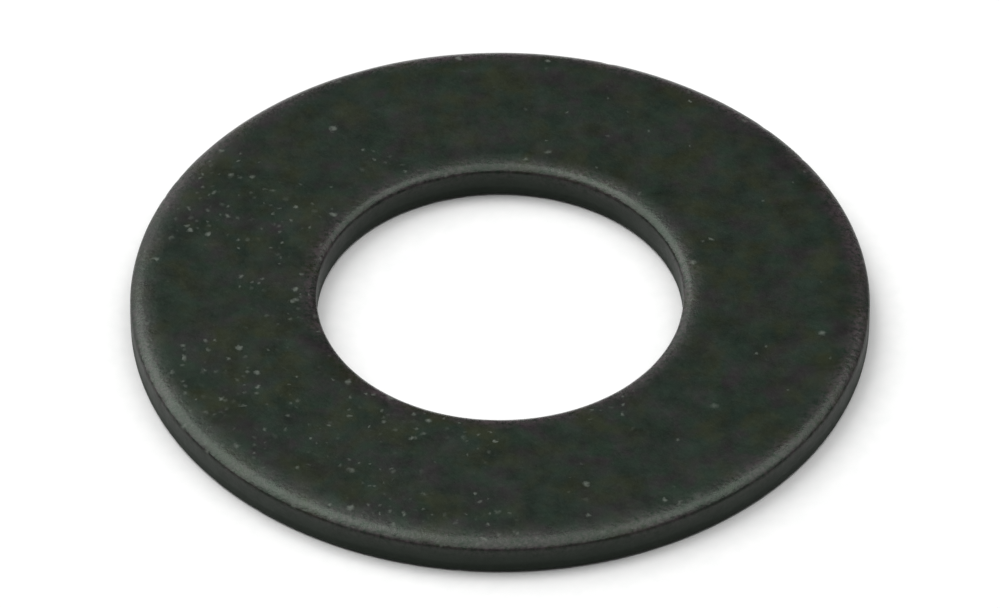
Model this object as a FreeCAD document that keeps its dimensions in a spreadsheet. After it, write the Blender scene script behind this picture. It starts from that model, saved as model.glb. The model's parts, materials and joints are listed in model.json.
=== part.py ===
import FreeCAD, Part
import math
import os

import Sketcher

# Flat washer, punched from thin steel sheet: a single solid ring.
# Frame: +Z up along the bore, origin at the bore's centre on the bottom bearing face. Millimetres.
#
# Punching leaves its marks on the section. On the upper side the sheet is drawn down before it shears,
# so the rim and the bore each start with a rolled shoulder, wider than it is deep. A shoulder is two
# tangent arcs: a shallow margin that leaves the face level, then a narrower nose that turns down to the
# wall. Below it the wall is sheared straight. Tumbling then rounds the two sharp lower edges.

NODE = "flat_washer"

# Driving dimensions, in millimetres: alias in the sheet, value, what it is.
DIMENSIONS = [
    ("outer_diameter", 17.0, "rim, at the sheared wall"),
    ("bore_diameter", 8.4, "clearance bore for an 8 mm screw"),
    ("thickness", 0.85, "sheet thickness, bearing face to bearing face"),
    ("rim_roll_width", 0.78, "radial width of the rolled shoulder at the rim"),
    ("rim_roll_drop", 0.17, "depth of the rolled shoulder at the rim"),
    ("rim_nose_width", 0.32, "radial width of that shoulder's nose, beside the wall"),
    ("rim_margin_drop", 0.035, "depth of that shoulder's margin, where the nose begins"),
    ("bore_roll_width", 0.62, "radial width of the rolled shoulder at the bore"),
    ("bore_roll_drop", 0.14, "depth of the rolled shoulder at the bore"),
    ("bore_nose_width", 0.24, "radial width of that shoulder's nose, beside the wall"),
    ("bore_margin_drop", 0.030, "depth of that shoulder's margin, where the nose begins"),
    ("lower_edge_radius", 0.10, "tumbled rounding of the two lower edges"),
]
FULL_TURN = 360

# The sketcher's own numbers for the ends of a line, for the origin point and for the X axis.
START = 1
END = 2
ORIGIN_POINT = (-1, 1)
X_AXIS = -1

# A failed feature shows itself in its State, not as an exception.
FAILED_STATES = {"Invalid", "Error"}
# The rounded edges take less than this part of the square-edged ring's volume.
ROUNDED_AWAY = 0.02


def make_sheet(doc):
    """The spreadsheet that drives the model: one row per dimension, its value under an alias."""
    sheet = doc.addObject("Spreadsheet::Sheet", "dims")
    for row, (alias, value, meaning) in enumerate(DIMENSIONS, start=1):
        sheet.set(f"A{row}", alias)
        sheet.set(f"B{row}", str(value))
        sheet.set(f"C{row}", meaning)
        sheet.setAlias(f"B{row}", alias)
    doc.recompute()
    return sheet


def origin_plane(body, role):
    """One of a body's own origin planes, such as XZ_Plane."""
    for feature in body.Origin.OriginFeatures:
        if feature.Role == role:
            return feature
    raise RuntimeError(f"{body.Label} has no {role}")


def arc(centre, first, last):
    """Part of the circle round centre, in the sketch's plane, anticlockwise from first to last."""
    circle = Part.Circle()
    circle.Center = centre
    circle.Radius = (first - centre).Length
    start = math.atan2(first.y - centre.y, first.x - centre.x)
    end = math.atan2(last.y - centre.y, last.x - centre.x)
    if end < start:
        end += 2 * math.pi
    return Part.ArcOfCircle(circle, start, end)


def shoulder_centres(face_end, join, wall_top):
    """Centres of a shoulder's two arcs: the margin, which leaves the level face at face_end and stops at
    join, and the nose, which goes on from there without a kink and stops at wall_top.
    """
    margin_width = join.x - face_end.x
    margin_drop = face_end.y - join.y
    margin_radius = (margin_width**2 + margin_drop**2) / (2 * margin_drop)
    margin_centre = face_end - FreeCAD.Vector(0, margin_radius, 0)
    inwards = (margin_centre - join) / margin_radius
    across_nose = wall_top - join
    nose_radius = across_nose.dot(across_nose) / (2 * inwards.dot(across_nose))
    return margin_centre, join + inwards * nose_radius


def draw_section(sketch, sheet):
    """Half section of the ring in the sketch's plane: X is the radius and Y the height."""
    bore_x = sheet.bore_diameter / 2
    rim_x = sheet.outer_diameter / 2
    top_y = sheet.thickness
    rounding = sheet.lower_edge_radius
    lift = FreeCAD.Vector(0, rounding, 0)

    rim_face_start = FreeCAD.Vector(rim_x - rounding, 0, 0)
    rim_wall_foot = FreeCAD.Vector(rim_x, rounding, 0)
    rim_wall_top = FreeCAD.Vector(rim_x, top_y - sheet.rim_roll_drop, 0)
    rim_join = FreeCAD.Vector(rim_x - sheet.rim_nose_width, top_y - sheet.rim_margin_drop, 0)
    rim_face_end = FreeCAD.Vector(rim_x - sheet.rim_roll_width, top_y, 0)
    rim_margin_centre, rim_nose_centre = shoulder_centres(rim_face_end, rim_join, rim_wall_top)

    bore_face_end = FreeCAD.Vector(bore_x + sheet.bore_roll_width, top_y, 0)
    bore_join = FreeCAD.Vector(bore_x + sheet.bore_nose_width, top_y - sheet.bore_margin_drop, 0)
    bore_wall_top = FreeCAD.Vector(bore_x, top_y - sheet.bore_roll_drop, 0)
    bore_wall_foot = FreeCAD.Vector(bore_x, rounding, 0)
    bore_face_start = FreeCAD.Vector(bore_x + rounding, 0, 0)
    bore_margin_centre, bore_nose_centre = shoulder_centres(bore_face_end, bore_join, bore_wall_top)

    outline = [
        Part.LineSegment(bore_face_start, rim_face_start),
        arc(rim_face_start + lift, rim_face_start, rim_wall_foot),
        Part.LineSegment(rim_wall_foot, rim_wall_top),
        arc(rim_nose_centre, rim_wall_top, rim_join),
        arc(rim_margin_centre, rim_join, rim_face_end),
        Part.LineSegment(rim_face_end, bore_face_end),
        arc(bore_margin_centre, bore_face_end, bore_join),
        arc(bore_nose_centre, bore_join, bore_wall_top),
        Part.LineSegment(bore_wall_top, bore_wall_foot),
        arc(bore_face_start + lift, bore_wall_foot, bore_face_start),
    ]
    return [sketch.addGeometry(piece) for piece in outline]


def tie_section(sketch, outline):
    """Joins the outline end to end: smooth everywhere but where the noses meet the sheared walls."""
    bottom, rim_edge, rim_wall, rim_nose, rim_margin, *rest = outline
    top, bore_margin, bore_nose, bore_wall, bore_edge = rest
    for kind, first, second in (
        ("Tangent", bottom, rim_edge),
        ("Tangent", rim_edge, rim_wall),
        ("Coincident", rim_wall, rim_nose),
        ("Tangent", rim_nose, rim_margin),
        ("Tangent", rim_margin, top),
        ("Tangent", top, bore_margin),
        ("Tangent", bore_margin, bore_nose),
        ("Coincident", bore_nose, bore_wall),
        ("Tangent", bore_wall, bore_edge),
        ("Tangent", bore_edge, bottom),
    ):
        sketch.addConstraint(Sketcher.Constraint(kind, first, END, second, START))
    sketch.addConstraint(Sketcher.Constraint("PointOnObject", bottom, START, X_AXIS))
    sketch.addConstraint(Sketcher.Constraint("Equal", rim_edge, bore_edge))
    for level in (bottom, top):
        sketch.addConstraint(Sketcher.Constraint("Horizontal", level))
    for wall in (rim_wall, bore_wall):
        sketch.addConstraint(Sketcher.Constraint("Vertical", wall))


def size_section(sketch, outline):
    """Gives each size of the section a named constraint that follows the sheet."""
    bottom, rim_edge, rim_wall, rim_nose, _, top, bore_margin, _, bore_wall, _ = outline
    rim_face_start = (bottom, END)
    rim_wall_top = (rim_wall, END)
    rim_join = (rim_nose, END)
    rim_face_end = (top, START)
    bore_face_end = (top, END)
    bore_join = (bore_margin, END)
    bore_wall_top = (bore_wall, START)
    for name, kind, ends, expression in (
        ("bore_radius", "DistanceX", (*ORIGIN_POINT, *bore_wall_top), "dims.bore_diameter / 2"),
        ("rim_radius", "DistanceX", (*ORIGIN_POINT, *rim_wall_top), "dims.outer_diameter / 2"),
        ("height", "DistanceY", (*rim_face_start, *rim_face_end), "dims.thickness"),
        ("rim_roll_across", "DistanceX", (*rim_face_end, *rim_wall_top), "dims.rim_roll_width"),
        ("rim_roll_down", "DistanceY", (*rim_wall_top, *rim_face_end), "dims.rim_roll_drop"),
        ("rim_nose_across", "DistanceX", (*rim_join, *rim_wall_top), "dims.rim_nose_width"),
        ("rim_margin_down", "DistanceY", (*rim_join, *rim_face_end), "dims.rim_margin_drop"),
        ("bore_roll_across", "DistanceX", (*bore_wall_top, *bore_face_end), "dims.bore_roll_width"),
        ("bore_roll_down", "DistanceY", (*bore_wall_top, *bore_face_end), "dims.bore_roll_drop"),
        ("bore_nose_across", "DistanceX", (*bore_wall_top, *bore_join), "dims.bore_nose_width"),
        ("bore_margin_down", "DistanceY", (*bore_join, *bore_face_end), "dims.bore_margin_drop"),
        ("edge_rounding", "Radius", (rim_edge,), "dims.lower_edge_radius"),
    ):
        value = sketch.evalExpression(expression)
        index = sketch.addConstraint(Sketcher.Constraint(kind, *ends, value))
        sketch.renameConstraint(index, name)
        sketch.setExpression(f"Constraints.{name}", expression)


def make_washer(doc, sheet):
    """The washer: its half section turned once round the bore's axis."""
    body = doc.addObject("PartDesign::Body", NODE)
    body.Label = NODE
    body.Placement = FreeCAD.Placement()
    section = body.newObject("Sketcher::SketchObject", "ring_section")
    section.AttachmentSupport = [(origin_plane(body, "XZ_Plane"), "")]
    section.MapMode = "FlatFace"
    outline = draw_section(section, sheet)
    tie_section(section, outline)
    size_section(section, outline)
    ring = body.newObject("PartDesign::Revolution", "ring")
    ring.Profile = (section, [""])
    ring.ReferenceAxis = (section, ["V_Axis"])
    ring.Angle = FULL_TURN
    body.Tip = ring
    doc.recompute()
    return body


def check(doc, body, sheet):
    """Stops the macro if a feature failed, the sketch is loose, or the solid isn't the ring described."""
    for item in doc.Objects:
        if FAILED_STATES & set(item.State):
            raise RuntimeError(f"{item.Label} failed: {item.State}")
    if not doc.getObject("ring_section").FullyConstrained:
        raise RuntimeError("the section has freedom left")
    shape = body.Shape
    if shape.isNull() or not shape.isValid() or len(shape.Solids) != 1:
        raise RuntimeError(f"{body.Label} isn't one valid solid")
    annulus = math.pi / 4 * (sheet.outer_diameter**2 - sheet.bore_diameter**2)
    square_edged = annulus * sheet.thickness
    if not (1 - ROUNDED_AWAY) * square_edged < shape.Volume < square_edged:
        raise RuntimeError(f"volume {shape.Volume:.2f} against {square_edged:.2f} with square edges")


def write_step(body):
    """Writes the body's solid to its own file, named after its Label."""
    os.makedirs("parts", exist_ok=True)
    body.Shape.exportStep(os.path.join("parts", f"{body.Label}.step"))


doc = FreeCAD.newDocument("flat_washer_model")
dims = make_sheet(doc)
washer = make_washer(doc, dims)
check(doc, washer, dims)
write_step(washer)
print(f"{washer.Label}: volume {washer.Shape.Volume:.3f} mm3")
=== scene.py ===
import json
import math
import random

import bpy
import numpy as np
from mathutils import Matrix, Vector, noise


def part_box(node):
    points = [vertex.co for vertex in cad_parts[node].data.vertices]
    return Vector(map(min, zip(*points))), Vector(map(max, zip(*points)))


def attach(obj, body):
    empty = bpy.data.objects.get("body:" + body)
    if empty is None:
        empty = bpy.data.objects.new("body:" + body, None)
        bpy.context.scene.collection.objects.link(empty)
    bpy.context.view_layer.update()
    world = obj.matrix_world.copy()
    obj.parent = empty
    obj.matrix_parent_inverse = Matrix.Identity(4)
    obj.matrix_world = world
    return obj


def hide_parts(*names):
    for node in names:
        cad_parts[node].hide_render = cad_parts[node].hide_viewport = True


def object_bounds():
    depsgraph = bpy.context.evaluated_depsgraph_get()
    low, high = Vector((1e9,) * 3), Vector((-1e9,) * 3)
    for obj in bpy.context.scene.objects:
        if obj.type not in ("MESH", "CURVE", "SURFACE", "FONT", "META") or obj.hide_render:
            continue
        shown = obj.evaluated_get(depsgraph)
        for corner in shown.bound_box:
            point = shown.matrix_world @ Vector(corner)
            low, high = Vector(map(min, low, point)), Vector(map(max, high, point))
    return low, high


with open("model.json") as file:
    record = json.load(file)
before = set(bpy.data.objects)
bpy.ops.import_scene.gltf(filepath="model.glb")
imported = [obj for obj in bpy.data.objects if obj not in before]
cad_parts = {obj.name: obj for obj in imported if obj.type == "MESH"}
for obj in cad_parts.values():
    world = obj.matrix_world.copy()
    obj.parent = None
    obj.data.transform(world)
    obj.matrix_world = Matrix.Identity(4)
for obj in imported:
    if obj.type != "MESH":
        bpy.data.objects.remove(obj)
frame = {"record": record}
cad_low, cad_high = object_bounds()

# A punched steel washer with a black oxide finish, lying on a white ground under large soft lights.
# Lengths are in metres. MM and MICRON turn the sizes below into metres.
MM = 1e-3
MICRON = 1e-6

NODE = "flat_washer"

# The rolled shoulders and the lower edges, as in the part's section. Each shoulder leaves the face in a
# wide, shallow margin and turns down in a narrower nose. The corner between a nose and its wall is sharp
# in the part, and is softened here.
RIM_ROLL = {"width": 0.78 * MM, "drop": 0.17 * MM, "nose": 0.32 * MM, "margin_drop": 0.035 * MM}
BORE_ROLL = {"width": 0.62 * MM, "drop": 0.14 * MM, "nose": 0.24 * MM, "margin_drop": 0.030 * MM}
LOWER_EDGE_RADIUS = 0.10 * MM
CORNER_RADIUS = 0.10 * MM

# The mesh: how many points go round the washer, and along each stretch of its section.
POINTS_ROUND = 640
POINTS_TOP = 38
POINTS_BOTTOM = 20
POINTS_MARGIN = 9
POINTS_NOSE = 12
POINTS_CORNER = 6
POINTS_WALL = 11
POINTS_EDGE = 7

QUARTER = math.pi / 2
SEED = 7

# Relief, all of it cut into the nominal surface.
# The sheet's waves rise and fall about a base cut. Each has a height, a length, and a shift that keeps its
# noise apart from the others. The base and the heights are in microns.
WAVE_BASE = 4.5
WAVES = ((3.0, 4.2 * MM, 0), (1.6, 1.3 * MM, 11), (0.7, 0.5 * MM, 23))
# How deep and how far from the corner tumbling has knocked it back.
KNOCK_DEPTH = 9 * MICRON
KNOCK_REACH = 0.10 * MM
# Heights are squashed by this before the shear marks' noise is read, which draws the marks out upright.
SHEAR_SQUASH = 0.15
# Height on the wall where the sheet starts to break away, how far that wanders, how soon it is fully
# broken below, and how rough it is there, in microns: the mean cut and how much it varies.
BREAK_HEIGHT = 0.30 * MM
BREAK_WANDER = 0.05 * MM
BREAK_FADE = 0.06 * MM
BREAK_CUT = 2.5
BREAK_VARIES = 1.5
EDGE_DENTS = {"count": 16, "radius": (0.12 * MM, 0.24 * MM), "depth": (5 * MICRON, 14 * MICRON)}
FACE_DENTS = {"count": 55, "radius": (0.12 * MM, 0.26 * MM), "depth": (1.5 * MICRON, 4 * MICRON)}

# Masks for the finish: how far the worn nose, with its painted highlight colour, reaches from the middle
# of a nose, and the upward part of the normal at which a surface stops counting as upright, and at which
# it counts as level.
WORN_REACH = 0.26 * MM
UPRIGHT = 0.25
LEVEL = 0.75

# The lamps, all of them wide and far off: name, strength, how wide it looks, its bearing to the left of
# straight behind the washer, and its height above the ground, the last three in degrees. The surround
# lights the washer dimly from everywhere else, and the camera sees plain white beyond the ground.
LAMPS = (
    ("overhead", 1.40, 56, 0, 87),
    ("left", 1.75, 50, 58, 50),
    ("right", 0.66, 36, -62, 52),
    ("back_left", 0.42, 46, 36, 25),
)
SURROUND = 0.11
SEEN_BEYOND_GROUND = 1.0

# The camera: degrees above the ground, lens and sensor in millimetres, the part of the picture's width
# that the washer fills, and the clipping planes as multiples of its distance.
CAMERA_ELEVATION = 42.4
CAMERA_LENS = 420
SENSOR_WIDTH = 36
WIDTH_FILLED = 0.74
CLIP_NEAR = 0.1
CLIP_FAR = 20


# ---------------------------------------------------------------- the washer's section


def line(start, end, count):
    """count points from start towards end, without the end."""
    steps = np.linspace(0.0, 1.0, count, endpoint=False)[:, None]
    return np.array(start) + steps * (np.array(end) - np.array(start))


def arc(centre, radius, first, last, count):
    """count points along an arc from angle first towards angle last, in radians, without the last."""
    angles = np.linspace(first, last, count, endpoint=False)
    return np.array(centre) + radius * np.column_stack((np.cos(angles), np.sin(angles)))


def shoulder(wall, top, roll):
    """A shoulder from its upright wall at radius wall up and inwards to the top face.

    Three tangent arcs, as rows of (radius, height): the softened corner, the nose and the margin, which
    meets the face level. Returns them by name, and the height where the wall ends.
    """
    margin_width = roll["width"] - roll["nose"]
    margin_radius = (margin_width**2 + roll["margin_drop"] ** 2) / (2 * roll["margin_drop"])
    margin_centre = np.array((wall - roll["width"], top - margin_radius))
    join = np.array((wall - roll["nose"], top - roll["margin_drop"]))
    inwards = (margin_centre - join) / margin_radius
    across_nose = np.array((wall, top - roll["drop"])) - join
    nose_radius = across_nose @ across_nose / (2 * inwards @ across_nose)
    nose_centre = join + nose_radius * inwards

    to_corner = wall - CORNER_RADIUS - nose_centre[0]
    rise = math.sqrt((nose_radius - CORNER_RADIUS) ** 2 - to_corner**2)
    corner_centre = (wall - CORNER_RADIUS, nose_centre[1] + rise)
    corner_end = math.atan2(rise, to_corner)
    nose_end = math.atan2(-inwards[1], -inwards[0])
    stretches = {
        "corner": arc(corner_centre, CORNER_RADIUS, 0, corner_end, POINTS_CORNER),
        "nose": arc(nose_centre, nose_radius, corner_end, nose_end, POINTS_NOSE),
        "margin": arc(margin_centre, margin_radius, nose_end, QUARTER, POINTS_MARGIN),
    }
    return stretches, corner_centre[1]


def mirrored(points, about):
    """The same stretch on the other side of the radius about, run the other way."""
    flipped = points[::-1].copy()
    flipped[:, 0] = 2 * about - flipped[:, 0]
    return flipped


def ring_section(bore, rim, top):
    """The closed half section as rows of (radius, height), anticlockwise, and each point's stretch."""
    edge = LOWER_EDGE_RADIUS
    rim_shoulder, rim_wall_top = shoulder(rim, top, RIM_ROLL)
    bore_shoulder, bore_wall_top = shoulder(bore, top, BORE_ROLL)
    rim_face_end = (rim - RIM_ROLL["width"], top)
    bore_face_end = (bore + BORE_ROLL["width"], top)
    stretches = {
        "bottom": line((bore + edge, 0), (rim - edge, 0), POINTS_BOTTOM),
        "rim_edge": arc((rim - edge, edge), edge, -QUARTER, 0, POINTS_EDGE),
        "rim_wall": line((rim, edge), (rim, rim_wall_top), POINTS_WALL),
        "rim_corner": rim_shoulder["corner"],
        "rim_nose": rim_shoulder["nose"],
        "rim_margin": rim_shoulder["margin"],
        "top": np.vstack((line(rim_face_end, bore_face_end, POINTS_TOP), [bore_face_end])),
        "bore_margin": mirrored(bore_shoulder["margin"], bore),
        "bore_nose": mirrored(bore_shoulder["nose"], bore),
        "bore_corner": mirrored(bore_shoulder["corner"], bore),
        "bore_wall": line((bore, bore_wall_top), (bore, edge), POINTS_WALL)[1:],
        "bore_edge": arc((bore + edge, edge), edge, 2 * QUARTER, 3 * QUARTER, POINTS_EDGE),
    }
    names = np.concatenate([[name] * len(points) for name, points in stretches.items()])
    return np.concatenate(list(stretches.values())), names


def outward(section):
    """Outward unit normal at each point of the closed section."""
    along = np.roll(section, -1, axis=0) - np.roll(section, 1, axis=0)
    normal = np.column_stack((along[:, 1], -along[:, 0]))
    return normal / np.linalg.norm(normal, axis=1, keepdims=True)


# ---------------------------------------------------------------- relief, all of it cut inwards


def noise_at(points, size, offset):
    """Smooth noise from -1 to 1 at each point, with features about size across, shifted by offset."""
    shift = Vector((offset, offset, offset))
    return np.array([noise.noise(Vector(p) / size + shift) for p in points])


def near(distance, width):
    """1 where distance is 0, falling smoothly to nothing a few widths away."""
    return np.exp(-((distance / width) ** 2))


def to_nearest(section, spots):
    """Distance from each point of the section to the nearest of the spots."""
    gaps = section[:, None, :] - np.array(spots)[None, :, :]
    return np.linalg.norm(gaps, axis=2).min(axis=1)


def dents(points, zones, rng, on, count, radius, depth):
    """Small round dents of random size, centred on random vertices of the named stretches."""
    cut = np.zeros(len(points))
    places = np.flatnonzero(np.isin(zones, on))
    for _ in range(count):
        centre = points[places[rng.randrange(len(places))]]
        size = rng.uniform(*radius)
        away = np.linalg.norm(points - centre, axis=1) / size
        cut += rng.uniform(*depth) * np.clip(1 - away**2, 0, 1) ** 2
    return cut


def surface_waves(points):
    """The rolled sheet isn't quite flat: slow waves, with finer ones on them."""
    waves = sum(height * noise_at(points, length, shift) for height, length, shift in WAVES)
    return (WAVE_BASE + waves) * MICRON


def shear_marks(points, height, walls):
    """Upright marks on the sheared walls: long in height, short round the wall."""
    upright = np.column_stack((points[:, 0], points[:, 1], height * SHEAR_SQUASH))
    return walls * (1.0 + noise_at(upright, 0.35 * MM, 41)) * MICRON


def broken_zone(round_wall, height, lower):
    """The sheet breaks away over the lower part of each wall, from 0 to 1 where it has."""
    break_line = BREAK_HEIGHT + BREAK_WANDER * noise_at(round_wall, 1.1 * MM, 53)
    return lower * np.clip((break_line - height) / BREAK_FADE, 0, 1)


def knocked_corner(round_wall, distance_to_corner):
    """Tumbling has knocked the corner back by more in some places than in others."""
    uneven = 0.5 + 0.6 * noise_at(round_wall, 2.6 * MM, 31) + 0.3 * noise_at(round_wall, 0.7 * MM, 37)
    return KNOCK_DEPTH * np.clip(uneven, 0, None) * near(distance_to_corner, KNOCK_REACH)


def relief(points, distance_to_corner, height, zones):
    """How far each vertex is cut below the nominal surface, in metres, and how broken it is."""
    rng = random.Random(SEED)
    walls = np.isin(zones, ["rim_wall", "bore_wall"])
    lower = np.isin(zones, ["rim_wall", "bore_wall", "rim_edge", "bore_edge"])
    round_wall = points * np.array((1.0, 1.0, 0.0))
    broken = broken_zone(round_wall, height, lower)
    cut = surface_waves(points) + shear_marks(points, height, walls)
    cut += knocked_corner(round_wall, distance_to_corner)
    cut += broken * (BREAK_CUT + BREAK_VARIES * noise_at(points, 0.22 * MM, 61)) * MICRON
    cut += dents(points, zones, rng, ["rim_corner", "rim_edge"], **EDGE_DENTS)
    cut += dents(points, zones, rng, ["top", "bottom", "rim_margin", "bore_margin"], **FACE_DENTS)
    return np.clip(cut, 0, None), broken


# ---------------------------------------------------------------- the washer's mesh


def ring_faces(count):
    """The quads of a closed section of count points, turned once round, section after section."""
    ring = np.arange(POINTS_ROUND)[:, None] * count
    next_ring = np.roll(ring, -1, axis=0)
    step = np.arange(count)[None, :]
    next_step = np.roll(step, -1, axis=1)
    quads = np.stack((ring + step, next_ring + step, next_ring + next_step, ring + next_step), axis=-1)
    return quads.reshape(-1, 4).tolist()


def make_washer():
    """The washer as one closed mesh in the place of its CAD node, with masks for the finish."""
    low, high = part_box(NODE)
    mounts = {mount["name"]: mount for mount in frame["record"]["mounts"]}
    bore = mounts["bore"]["dims"]["r_mm"] * MM
    rim = (high.x - low.x) / 2
    top = high.z - low.z
    section, names = ring_section(bore, rim, top)
    turns = np.linspace(0, 2 * math.pi, POINTS_ROUND, endpoint=False)
    spokes = np.column_stack((np.cos(turns), np.sin(turns), np.zeros(POINTS_ROUND)))
    up = np.array([0.0, 0.0, 1.0])

    def sweep(pairs):
        """Rows of (radius, height) turned round the bore's axis."""
        swept = spokes[:, None, :] * pairs[None, :, :1] + up * pairs[None, :, 1:]
        return swept.reshape(-1, 3)

    points = sweep(section)
    height = np.tile(section[:, 1], POINTS_ROUND)
    zones = np.tile(names, POINTS_ROUND)
    corners = ((rim, top - RIM_ROLL["drop"]), (bore, top - BORE_ROLL["drop"]))
    rim_nose = (rim - RIM_ROLL["nose"] / 2, top - RIM_ROLL["drop"] / 2)
    bore_nose = (bore + BORE_ROLL["nose"] / 2, top - BORE_ROLL["drop"] / 2)
    to_corner = np.tile(to_nearest(section, corners), POINTS_ROUND)
    to_nose = np.tile(to_nearest(section, (rim_nose, bore_nose)), POINTS_ROUND)
    upward = np.abs(outward(section)[:, 1])
    level = np.tile(np.clip((upward - UPRIGHT) / (LEVEL - UPRIGHT), 0, 1), POINTS_ROUND)
    cut, broken = relief(points, to_corner, height, zones)
    centre = (low + high) / 2
    placed = points - sweep(outward(section)) * cut[:, None] + np.array((centre.x, centre.y, low.z))

    mesh = bpy.data.meshes.new("washer_mesh")
    mesh.from_pydata(placed.tolist(), [], ring_faces(len(section)))
    mesh.polygons.foreach_set("use_smooth", np.ones(len(mesh.polygons), dtype=bool))
    masks = {"worn": near(to_nose, WORN_REACH), "broken": broken, "level": level}
    for name, values in masks.items():
        mask = mesh.attributes.new(name, "FLOAT", "POINT")
        mask.data.foreach_set("value", values.astype(np.float32))
    mesh.update()
    washer = bpy.data.objects.new("washer", mesh)
    bpy.context.scene.collection.objects.link(washer)
    return washer


# ---------------------------------------------------------------- materials


class Nodes:
    """Short forms for wiring one material's nodes."""

    def __init__(self, tree):
        self.tree = tree

    def add(self, kind, settings=None, **inputs):
        """A new node, with its settings, and its inputs given as values or as other nodes' outputs.

        An input is named, or numbered as i0, i1 and so on.
        """
        node = self.tree.nodes.new(kind)
        for name, value in (settings or {}).items():
            setattr(node, name, value)
        for name, value in inputs.items():
            socket = node.inputs[int(name[1:]) if name[0] == "i" and name[1:].isdigit() else name]
            if isinstance(value, bpy.types.NodeSocket):
                self.tree.links.new(value, socket)
            else:
                socket.default_value = value
        return node

    def math(self, operation, first, second=0.0, clamp=False):
        settings = {"operation": operation, "use_clamp": clamp}
        return self.add("ShaderNodeMath", settings, i0=first, i1=second).outputs[0]

    def mix(self, share, first, second):
        """Colour mix: first where share is 0, second where it is 1."""
        return self.add("ShaderNodeMix", {"data_type": "RGBA"}, i0=share, i6=first, i7=second).outputs[2]

    def vector_math(self, operation, **inputs):
        return self.add("ShaderNodeVectorMath", {"operation": operation}, **inputs).outputs

    def scaled(self, vector, factor):
        return self.vector_math("SCALE", i0=vector, Scale=factor)[0]

    def stretched(self, vector, factors):
        return self.vector_math("MULTIPLY", i0=vector, i1=factors)[0]

    def moved(self, vector, shift):
        return self.vector_math("ADD", i0=vector, i1=shift)[0]

    def noise(self, where, scale, detail=3.0, roughness=0.5):
        settings = {"Vector": where, "Scale": scale, "Detail": detail, "Roughness": roughness}
        return self.add("ShaderNodeTexNoise", **settings).outputs["Fac"]

    def remap(self, value, low, high, to_low=0.0, to_high=1.0):
        settings = {"i0": value, "i1": low, "i2": high, "i3": to_low, "i4": to_high}
        return self.add("ShaderNodeMapRange", **settings).outputs[0]

    def along(self, vector, direction):
        """How far a vector reaches along a direction."""
        return self.vector_math("DOT_PRODUCT", i0=vector, i1=direction)["Value"]

    def plus(self, value, mask, change):
        """The value, changed by so much where the mask is 1."""
        return self.math("ADD", value, self.math("MULTIPLY", mask, change))

    def mask(self, name):
        return self.add("ShaderNodeAttribute", {"attribute_name": name}).outputs["Fac"]


def new_material(name):
    material = bpy.data.materials.new(name)
    material.use_nodes = True
    material.node_tree.nodes.clear()
    nodes = Nodes(material.node_tree)
    output = nodes.add("ShaderNodeOutputMaterial")
    place = nodes.add("ShaderNodeTexCoord").outputs["Object"]
    in_mm = nodes.scaled(place, 1 / MM)
    return material, nodes, output, in_mm


# In the finish, noise and cell scales are counts for each millimetre. Fixed shifts such as (17, 5, 3) only
# keep one noise apart from another.
# The hues, all very dark: two mixes of two, then a mix of the results.
GREEN = (0.0055, 0.0125, 0.0075, 1)
VIOLET = (0.0115, 0.0085, 0.0105, 1)
OLIVE = (0.0105, 0.0125, 0.0045, 1)
TEAL = (0.0050, 0.0112, 0.0074, 1)
# A darker copy of the oxide colour for the upright walls: painted shade that darkens them.
WALL_PAINTED_SHADE = (0.0050, 0.0066, 0.0048, 1)
# A lighter mauve grey for the noses: partly oxide worn thin, partly a painted highlight that makes the
# reflection there look neutral.
RUBBED_AND_HIGHLIGHT = (0.060, 0.043, 0.050, 1)
DUST = (0.15, 0.165, 0.145, 1)
# Dust lies thicker towards one side: the direction, and by how much for each millimetre.
DUSTY_SIDE = (-0.014, -0.012, 0.0)

# How strongly the noses' mauve grey, partly wear and partly a painted highlight, and the dust show in the
# colour.
RUBBING_AND_HIGHLIGHT_SHOWS = 0.8
DUST_SHOWS = 0.56
# Roughness of an upright wall from its smoothest patch to its roughest, what the grain adds or takes away,
# and what each mask changes.
WALL_ROUGHNESS = (0.54, 0.64)
GRAIN_ROUGHNESS = 0.03
ROUGHNESS_CHANGES = {"level": -0.25, "worn": -0.06, "dusty": 0.25, "broken": 0.10}
# Height of the grain on plain and on rubbed surface, then of the rest, in steps of BUMP_STEP.
GRAIN_HEIGHT = (1.6, 4.5)
PATCH_HEIGHT = 0.8
STREAK_HEIGHT = 0.8
DUST_HEIGHT = 1.0
BUMP_STEP = 4.0 * MICRON
BUMP_STRENGTH = 0.6
OXIDE_IOR = 1.42
OXIDE_TINT = (0.80, 1.0, 0.82, 1)


def oxide_colour(nodes, in_mm):
    """Green-black, with soft round patches that lean to violet, olive and teal."""
    first = nodes.remap(nodes.noise(in_mm, 1.7, detail=3.0), 0.40, 0.62)
    second = nodes.remap(nodes.noise(nodes.moved(in_mm, (17.0, 5.0, 3.0)), 1.4, detail=3.0), 0.42, 0.60)
    choice = nodes.remap(nodes.noise(nodes.moved(in_mm, (3.0, 29.0, 7.0)), 1.0, detail=3.0), 0.40, 0.60)
    hue = nodes.mix(choice, nodes.mix(first, GREEN, VIOLET), nodes.mix(second, OLIVE, TEAL))
    depth = nodes.noise(nodes.moved(in_mm, (41.0, 2.0, 13.0)), 1.9, detail=4.0)
    return nodes.scaled(hue, nodes.remap(depth, 0.3, 0.7, 0.60, 1.40))


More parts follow.
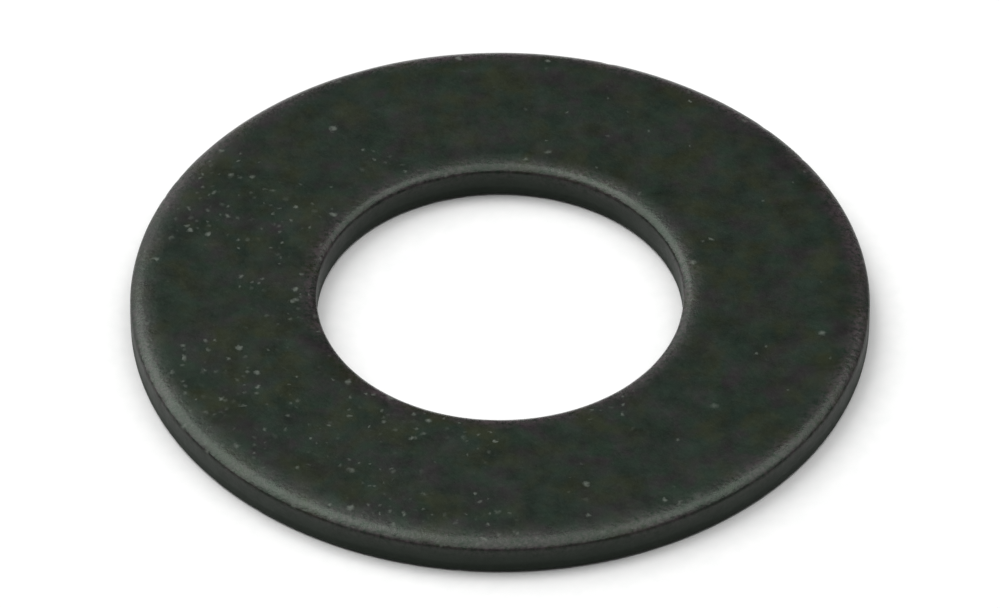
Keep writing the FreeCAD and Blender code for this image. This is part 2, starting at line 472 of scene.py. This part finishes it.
def specks(nodes, in_mm, per_mm, sizes, share, wander):
    """Soft pale specks, from 0 to 1. One cell in so many has one, by share, and sizes are radii in mm.

    Their outlines and places wander by up to about half of wander, in mm.
    """
    drift = nodes.add("ShaderNodeTexNoise", Vector=in_mm, Scale=5.0, Detail=4.0, Roughness=0.7)
    ragged = nodes.moved(in_mm, nodes.scaled(drift.outputs["Color"], wander))
    cells = nodes.add("ShaderNodeTexVoronoi", {"voronoi_dimensions": "2D"}, Vector=ragged, Scale=per_mm)
    chance = nodes.add("ShaderNodeSeparateColor", i0=cells.outputs["Color"])
    radius = nodes.remap(chance.outputs[1], 0.0, 1.0, sizes[0] * per_mm, sizes[1] * per_mm)
    from_edge = nodes.math("DIVIDE", nodes.math("SUBTRACT", radius, cells.outputs["Distance"]), radius)
    soft = nodes.remap(from_edge, 0.0, 0.8)
    picked = nodes.math("LESS_THAN", chance.outputs[0], share)
    strength = nodes.math("POWER", chance.outputs[2], 1.8)
    return nodes.math("MULTIPLY", nodes.math("MULTIPLY", soft, picked), strength, clamp=True)


def dust(nodes, in_mm, level):
    """Where dust shows, from 0 to 1: soft specks, crowded in clusters, where the surface lies level."""
    spread = nodes.noise(nodes.moved(in_mm, (5.0, 11.0, 0.0)), 0.45, detail=3.0)
    crowd = nodes.math("ADD", spread, nodes.along(in_mm, DUSTY_SIDE))
    few = nodes.remap(crowd, 0.50, 0.66, 0.03, 0.50)
    many = nodes.remap(crowd, 0.50, 0.64, 0.02, 0.55)
    large = specks(nodes, in_mm, 2.4, (0.045, 0.105), few, 0.28)
    small = specks(nodes, in_mm, 4.2, (0.032, 0.070), many, 0.22)
    either = nodes.math("MAXIMUM", large, nodes.math("MULTIPLY", small, 0.7))
    return nodes.math("MULTIPLY", either, level)


def rubbing_and_highlight(nodes, in_mm, worn):
    """Where the finish is worn thin along the noses and a painted highlight colour lies, from 0 to 1: a
    fine, patchy grain.
    """
    fine = nodes.remap(nodes.noise(in_mm, 9.0, detail=4.0, roughness=0.7), 0.36, 0.60)
    broad = nodes.remap(nodes.noise(in_mm, 0.8, detail=2.0), 0.36, 0.60, 0.35, 1.0)
    return nodes.math("MULTIPLY", worn, nodes.math("MULTIPLY", fine, broad), clamp=True)


def oxide_roughness(nodes, patches, grain, masks):
    """Satin: smoother where rubbed, rougher under dust, on the walls and where the steel broke."""
    roughness = nodes.remap(patches, 0.3, 0.7, *WALL_ROUGHNESS)
    roughness = nodes.plus(roughness, nodes.remap(grain, 0.3, 0.7, -1.0, 1.0), GRAIN_ROUGHNESS)
    for name, change in ROUGHNESS_CHANGES.items():
        roughness = nodes.plus(roughness, masks[name], change)
    return roughness


def oxide_bump(nodes, in_mm, patches, grain, masks):
    """The finish's tooth, the shear streaks low on the walls, and the dust standing a little proud."""
    streaks = nodes.noise(nodes.stretched(in_mm, (1.0, 1.0, 0.12)), 9.0, detail=3.0)
    height = nodes.math("MULTIPLY", grain, nodes.remap(masks["worn"], 0.0, 1.0, *GRAIN_HEIGHT))
    height = nodes.plus(height, patches, PATCH_HEIGHT)
    height = nodes.plus(height, nodes.math("MULTIPLY", streaks, masks["broken"]), STREAK_HEIGHT)
    height = nodes.plus(height, masks["dusty"], DUST_HEIGHT)
    bump = nodes.add("ShaderNodeBump", Strength=BUMP_STRENGTH, Distance=BUMP_STEP, Height=height)
    return bump.outputs[0]


def black_oxide():
    """Black oxide on steel: green-black and satin, faintly mottled, dusty here and there, worn thin
    along the noses, where their lighter mauve grey is partly wear and partly a painted highlight. The
    upright walls take a darker colour, which is painted shade.
    """
    material, nodes, output, in_mm = new_material("black_oxide_steel")
    masks = {name: nodes.mask(name) for name in ("worn", "broken", "level")}
    patches = nodes.noise(in_mm, 1.6, detail=4.0, roughness=0.6)
    grain = nodes.noise(in_mm, 10.0, detail=3.0, roughness=0.6)
    masks["dusty"] = dust(nodes, in_mm, masks["level"])
    rubbed_and_highlight = rubbing_and_highlight(nodes, in_mm, masks["worn"])

    # Painted shade: upright walls take the darker wall colour, level faces the mottled oxide colour.
    colour = nodes.mix(masks["level"], WALL_PAINTED_SHADE, oxide_colour(nodes, in_mm))
    # Partly wear, partly painted highlight: the noses turn a lighter mauve grey in patches.
    colour = nodes.mix(nodes.math("MULTIPLY", rubbed_and_highlight, RUBBING_AND_HIGHLIGHT_SHOWS), colour, RUBBED_AND_HIGHLIGHT)
    colour = nodes.mix(nodes.math("MULTIPLY", masks["dusty"], DUST_SHOWS), colour, DUST)
    roughness = oxide_roughness(nodes, patches, grain, masks)
    bump = oxide_bump(nodes, in_mm, patches, grain, masks)

    shader = nodes.add("ShaderNodeBsdfPrincipled", Roughness=roughness, Normal=bump)
    nodes.tree.links.new(colour, shader.inputs["Base Color"])
    shader.inputs["Metallic"].default_value = 0.0
    shader.inputs["IOR"].default_value = OXIDE_IOR
    shader.inputs["Specular Tint"].default_value = OXIDE_TINT
    nodes.tree.links.new(shader.outputs[0], output.inputs["Surface"])
    return material


def white_ground():
    """Matt white board, with just enough tooth to look like a surface."""
    material, nodes, output, in_mm = new_material("white_ground")
    tooth = nodes.remap(nodes.noise(in_mm, 3.0), 0.3, 0.7)
    shade = nodes.mix(tooth, (0.86, 0.865, 0.86, 1), (0.89, 0.89, 0.885, 1))
    shader = nodes.add("ShaderNodeBsdfDiffuse", Color=shade)
    nodes.tree.links.new(shader.outputs[0], output.inputs["Surface"])
    return material


# ---------------------------------------------------------------- ground, light and camera


def make_ground(size):
    """A square of white board, level with the washer's underside."""
    half = size / 2
    corners = [(-half, -half, 0), (half, -half, 0), (half, half, 0), (-half, half, 0)]
    mesh = bpy.data.meshes.new("ground_mesh")
    mesh.from_pydata(corners, [], [(0, 1, 2, 3)])
    mesh.materials.append(white_ground())
    ground = bpy.data.objects.new("ground", mesh)
    ground.location.z = cad_low.z
    bpy.context.scene.collection.objects.link(ground)
    return ground


def make_world():
    """A dim surround for light, and plain white where the camera looks past the ground."""
    world = bpy.data.worlds.new("surround")
    world.use_nodes = True
    world.node_tree.nodes.clear()
    nodes = Nodes(world.node_tree)
    seen = nodes.add("ShaderNodeLightPath").outputs["Is Camera Ray"]
    dim = nodes.add("ShaderNodeBackground", Color=(1, 1, 1, 1), Strength=SURROUND)
    white = nodes.add("ShaderNodeBackground", Color=(1, 1, 1, 1), Strength=SEEN_BEYOND_GROUND)
    blend = nodes.add("ShaderNodeMixShader", i0=seen, i1=dim.outputs[0], i2=white.outputs[0])
    output = nodes.add("ShaderNodeOutputWorld")
    nodes.tree.links.new(blend.outputs[0], output.inputs["Surface"])
    bpy.context.scene.world = world


def point_at(item, target):
    item.rotation_euler = (target - item.location).to_track_quat("-Z", "Y").to_euler()


def towards(bearing, elevation):
    """Unit vector from the washer: bearing in degrees to the left of +Y, elevation above the ground."""
    side = math.radians(bearing)
    rise = math.radians(elevation)
    return Vector((-math.sin(side) * math.cos(rise), math.cos(side) * math.cos(rise), math.sin(rise)))


def make_lamp(middle, name, strength, spread, bearing, elevation):
    """One large soft light, far enough away to light the whole ground evenly."""
    data = bpy.data.lights.new(name, "SUN")
    data.energy = strength
    data.angle = math.radians(spread)
    lamp = bpy.data.objects.new(name, data)
    lamp.location = middle + towards(bearing, elevation)
    point_at(lamp, middle)
    bpy.context.scene.collection.objects.link(lamp)


def make_camera(middle, width):
    """A long lens, looking down at the washer so that it fills most of the picture's width."""
    data = bpy.data.cameras.new("camera")
    data.sensor_width = SENSOR_WIDTH
    data.lens = CAMERA_LENS
    distance = width * CAMERA_LENS / (WIDTH_FILLED * SENSOR_WIDTH)
    data.clip_start = distance * CLIP_NEAR
    data.clip_end = distance * CLIP_FAR
    camera = bpy.data.objects.new("camera", data)
    camera.location = middle - distance * towards(0, -CAMERA_ELEVATION)
    point_at(camera, middle)
    bpy.context.scene.collection.objects.link(camera)
    bpy.context.scene.camera = camera


middle = (cad_low + cad_high) / 2
washer = make_washer()
washer.data.materials.append(black_oxide())
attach(washer, "root")
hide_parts(NODE)
make_ground(3.0)
make_world()
for lamp in LAMPS:
    make_lamp(middle, *lamp)
make_camera(middle, cad_high.x - cad_low.x)
bpy.context.scene.view_settings.view_transform = "Standard"
